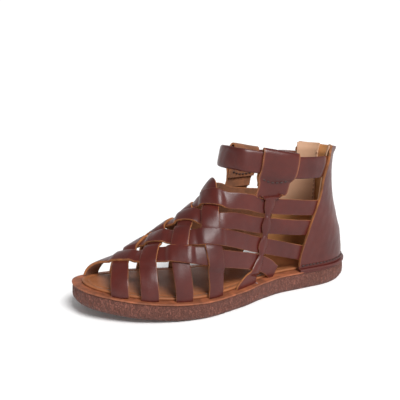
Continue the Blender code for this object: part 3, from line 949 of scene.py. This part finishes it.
def heel_ring(z, turns, first=0.0, last=1.0):
    """Level lines round the heel between shares of the counter's turn, and their ways out."""
    hub = along(0.206)
    z = np.array(z, float)
    corner = side_points(along(curve(COUNTER_EDGE, 1, z / COLLAR_HEIGHT)), z, 1)
    start = np.arctan2(corner[:, 1], corner[:, 0] - hub)[:, None]
    angle = start + (math.tau - 2 * start) * np.linspace(first, last, turns)
    reach = ANKLE_WIDTH * 0.57
    level = np.repeat(z, turns)
    ring = np.c_[hub + reach * np.cos(angle).ravel(), reach * np.sin(angle).ravel(), level]
    spot, normal = on_last(ring)
    spot[:, 2], normal[:, 2] = level, 0
    normal /= np.linalg.norm(normal, axis=1)[:, None]
    shape = (len(z), turns, 3)
    return spot.reshape(shape), normal.reshape(shape), angle


COUNTER_LIFT = STRAP_THICK - GAP


class SANDAL_OT_counter(bpy.types.Operator):
    """Make the heel counter and its two lining patches"""
    bl_idname = "sandal.counter"
    bl_label = "Heel counter"

    def execute(self, context):
        sizes, tone = context.scene.sandal_sizes, colours()
        floor = float(rim(0.1)) + GAP
        top = COLLAR_HEIGHT * 1.01
        levels = [(floor + COUNTER_THICK * up, COUNTER_THICK * out) for up, out in
                  ((0.0, 2.05), (0.03, 1.45), (0.09, 0.85), (0.2, 0.5), (0.36, 0.27), (0.6, 0.1))]
        levels += [(z, 0.0) for z in np.linspace(floor + COUNTER_THICK, top, 56)]
        z, out = np.array(levels).T[..., None]
        spot, normal, angle = heel_ring(z.ravel(), 121)
        back = ramp(0.9, 0.1, abs(angle - math.pi))
        ear = COUNTER_THICK * 1.3 * ramp(0.95, 1.01, z / COLLAR_HEIGHT) * back
        flat = spot.reshape(-1, 3)
        creases = sizes.crease * (1.2 * waves(flat, 0.022, 90) + 0.6 * waves(flat, 0.009, 91))
        lift = COUNTER_LIFT + out + ear
        lift = lift + creases.reshape(ear.shape) * ramp(0.15, 0.25, z / COLLAR_HEIGHT)
        spot = spot + normal * lift[..., None]
        share = np.linspace(0, 1, 121)
        corner = 1 - ramp(0, 0.075, np.minimum(share, 1 - share))
        drop = 0.0030 * back + 0.0060 * corner**2
        spot[..., 2] += ear * 0.25 - drop * ramp(0.86, 1.01, z / COLLAR_HEIGHT)
        inside = fibre_leather("Counter inside", tone.inside[:], darker(tone.inside[:], 0.8), 0.75,
                               0.00008)
        leather_sheet("heel_counter", spot, COUNTER_THICK, [burgundy(), inside, counter_edge()],
                      "burgundy_leather", edge_wide=7)

        natural = grain_leather("Natural lining", tone.lining[:], darker(tone.lining[:], 0.88), 0.6,
                                0.00006)
        for side, name in ((1, "lining_outer"), (-1, "lining_inner")):
            z = np.linspace(COLLAR_HEIGHT * 0.47, top - GAP * 2, 36)
            spot, normal, _ = heel_ring(z, 41, 0.02, 0.40)
            lift = -0.0007 + 0.00145 * ramp(0.955, 1.0, z / COLLAR_HEIGHT)
            spot = (spot + normal * lift[:, None, None]) * (1, side, 1)
            leather_sheet(name, spot, LINING_THICK, [natural, natural, natural], "insole_leather")
        return {"FINISHED"}


class SANDAL_OT_ankle_strap(bpy.types.Operator):
    """Make the padded ankle strap, rolled at its edges and tucked behind the counter"""
    bl_idname = "sandal.ankle_strap"
    bl_label = "Ankle strap"

    def execute(self, context):
        sizes = context.scene.sandal_sizes
        hub, turns, around, tuck = along(0.324), 181, 44, 0.007
        round_ = np.linspace(0, math.tau, around + 1)
        up = np.sign(np.sin(round_)) * np.abs(np.sin(round_)) ** 0.62
        out = np.sign(np.cos(round_)) * np.abs(np.cos(round_)) ** 0.80
        up, out = up[:, None], out[:, None]
        z_end = float(curve(ANKLE_LINE, 1, 0.15)) * COLLAR_HEIGHT + up * ANKLE_STRAP_HEIGHT / 2
        x_end = along(curve(COUNTER_EDGE, 1, z_end / COLLAR_HEIGHT)) - tuck
        corner = side_points(x_end, z_end, 1)
        start = np.arctan2(corner[:, 1], corner[:, 0] - hub)[:, None]
        angle = (start * np.linspace(1, -1, turns)).ravel()
        ring, _ = on_last(np.c_[hub + ANKLE_WIDTH * 0.71 * np.cos(angle),
                                ANKLE_WIDTH * 0.54 * np.sin(angle),
                                np.full(len(angle), COLLAR_HEIGHT * 0.86)])
        up, out, x_end = (np.repeat(v, turns) for v in (up, out, x_end))
        full = 0.40 + 0.60 * ramp(tuck, tuck + 0.007, np.abs(ring[:, 0] - x_end))
        z = curve(ANKLE_LINE, 1, station(ring[:, 0])) * COLLAR_HEIGHT
        z = z + up * ANKLE_STRAP_HEIGHT / 2 * (0.94 + 0.06 * full)
        spot, way = on_last(np.c_[ring[:, :2], z])
        spot[:, 2] = z
        front = ramp(along(0.41), along(0.47), spot[:, 0])
        folds = waves(spot, 0.013, 14, (1, 1, 0.25)) * (0.35 + 0.65 * front)
        folds = folds + 0.35 * waves(spot, 0.006, 15, (1, 1, 0.5)) * front
        off = ANKLE_STRAP_THICK * (1 + out) * (1 + 0.35 * front)
        off = off + sizes.crumple * 0.5 * folds * (out + 1)
        grid = (spot + way * (GAP + off * full / 2)[:, None]).reshape(-1, turns, 3)
        mesh = grid_mesh(grid[::-1], closed=True)
        ends = [edge for edge in mesh.edges if edge.is_boundary]
        bmesh.ops.holes_fill(mesh, edges=ends, sides=0)
        bmesh.ops.recalc_face_normals(mesh, faces=mesh.faces)
        make("ankle_strap_padded", mesh, [burgundy()], "burgundy_leather", "ankle_strap")
        return {"FINISHED"}


class SANDAL_OT_stitches(bpy.types.Operator):
    """Sew the counter, the lining and the panels"""
    bl_idname = "sandal.stitches"
    bl_label = "Stitches"

    def execute(self, context):
        tone = colours().thread[:]
        thread = fibre_leather("Waxed thread", tone, darker(tone, 0.6), 0.5, 0.00005, fibres=5000)
        floor = float(rim(0.1)) + GAP

        mesh = bmesh.new()
        spot, normal, _ = heel_ring([floor + 0.0048], 241, 0.015, 0.985)
        sew(mesh, spot[0] + normal[0] * (COUNTER_LIFT + COUNTER_THICK + 0.0003), normal[0])
        make("stitches_counter", mesh, [thread], "burgundy_leather")

        mesh = bmesh.new()
        w = np.linspace(-0.74, 0.80, 40)
        for side in (1, -1):
            for off, face in ((curve(FOLD[:6], 1, STITCH_ROW) + LOOP_THICK + 0.0003, 1),
                              (-LOOP_THICK - 0.0003, -1)):
                spot, way = panel_spots(STITCH_ROW + 0.030 * w**2, w, float(off), side)
                sew(mesh, spot, way * face)
        make("stitches_panels", mesh, [thread], "burgundy_leather")

        mesh = bmesh.new()
        for side in (1, -1):
            z = np.linspace(COLLAR_HEIGHT * 0.50, COLLAR_HEIGHT * 0.95, 60)
            spot, normal, _ = heel_ring(z, 2, 0.385, 0.40)
            spot, normal = spot[:, 0] * (1, side, 1), normal[:, 0] * (1, side, 1)
            sew(mesh, spot - normal * 0.00075, -normal)
        tone = colours().lining[:]
        pale = fibre_leather("Pale thread", darker(tone, 0.8), darker(tone, 0.5), 0.6, 0.00005, fibres=5000)
        make("stitches_lining", mesh, [pale], "insole_leather")
        return {"FINISHED"}


class SANDAL_OT_stage(bpy.types.Operator):
    """Make the pale floor, the soft studio light and the camera"""
    bl_idname = "sandal.stage"
    bl_label = "Studio"

    def execute(self, context):
        scene = context.scene
        tone = colours().floor[:]
        mesh = bmesh.new()
        bmesh.ops.create_grid(mesh, x_segments=2, y_segments=2, size=4)
        for face in mesh.faces:
            face.smooth = True
        data = bpy.data.meshes.new("studio_floor")
        mesh.to_mesh(data)
        mesh.free()
        made, tree, shader, place = new_material("Pale floor", 0.9, Specular_IOR_Level=0.1)
        fine = add(tree, "ShaderNodeTexNoise", {"Vector": place, "Scale": 8}).outputs[0]
        tree.links.new(mixed(tree, fine, darker(tone, 0.995), tone), shader.inputs["Base Color"])
        data.materials.append(made)
        floor = bpy.data.objects.new("studio_floor", data)
        scene.collection.objects.link(floor)

        world = bpy.data.worlds.new("Studio")
        world.use_nodes = True
        tree = world.node_tree
        way = add(tree, "ShaderNodeTexCoord").outputs["Generated"]
        height = add(tree, "ShaderNodeSeparateXYZ", {"Vector": way}).outputs[2]
        dim = add(tree, "ShaderNodeMapRange", {"Value": height, "From Min": 0.18, "From Max": 0.5,
                                               "To Min": 1.08, "To Max": 0.26}).outputs[0]
        tree.nodes["Background"].inputs[0].default_value = (1, 1, 1, 1)
        tree.links.new(dim, tree.nodes["Background"].inputs[1])
        scene.world = world
        scene.view_settings.view_transform = "Standard"
        light = bpy.data.lights.new("Key light", "SUN")
        light.energy = 3.4
        light.angle = math.radians(27)
        key = bpy.data.objects.new("Key light", light)
        key.rotation_euler = Vector((-0.06, 0.64, 0.76)).to_track_quat("Z", "Y").to_euler()
        scene.collection.objects.link(key)

        camera = bpy.data.cameras.new("Camera")
        camera.sensor_fit = "HORIZONTAL"
        camera.sensor_width = 36
        camera.lens = 47.52
        camera.clip_start = 0.01
        view = bpy.data.objects.new("Camera", camera)
        right, up = Vector((-0.8872, 0.4614, 0.0)), Vector((-0.0949, -0.1824, 0.9786))
        turn = Matrix((right, up, right.cross(up))).transposed().to_4x4()
        turn.translation = (0.21869, 0.37751, 0.17127)
        view.matrix_world = turn
        scene.collection.objects.link(view)
        scene.camera = view
        return {"FINISHED"}


class SANDAL_PT_panel(bpy.types.Panel):
    """Sizes, colours and pieces of the sandal"""
    bl_idname = "SANDAL_PT_panel"
    bl_label = "Woven sandal"
    bl_space_type = "VIEW_3D"
    bl_region_type = "UI"
    bl_category = "Sandal"

    def draw(self, context):
        for group in (context.scene.sandal_sizes, context.scene.sandal_colours):
            box = self.layout.box()
            for name in group.__annotations__:
                box.prop(group, name)
        for step in STEPS:
            self.layout.operator("sandal." + step)


STEPS = ("sole", "straps", "thongs", "counter", "ankle_strap", "stitches", "stage")
CLASSES = (SandalSizes, SandalColours, SANDAL_OT_sole, SANDAL_OT_straps, SANDAL_OT_thongs,
           SANDAL_OT_counter, SANDAL_OT_ankle_strap, SANDAL_OT_stitches, SANDAL_OT_stage,
           SANDAL_PT_panel)


def register():
    for one in CLASSES:
        bpy.utils.register_class(one)
    bpy.types.Scene.sandal_sizes = PointerProperty(type=SandalSizes)
    bpy.types.Scene.sandal_colours = PointerProperty(type=SandalColours)


def unregister():
    del bpy.types.Scene.sandal_colours
    del bpy.types.Scene.sandal_sizes
    for one in reversed(CLASSES):
        bpy.utils.unregister_class(one)


def main():
    register()
    for step in STEPS:
        getattr(bpy.ops.sandal, step)()
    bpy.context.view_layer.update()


if __name__ == "__main__":
    main()
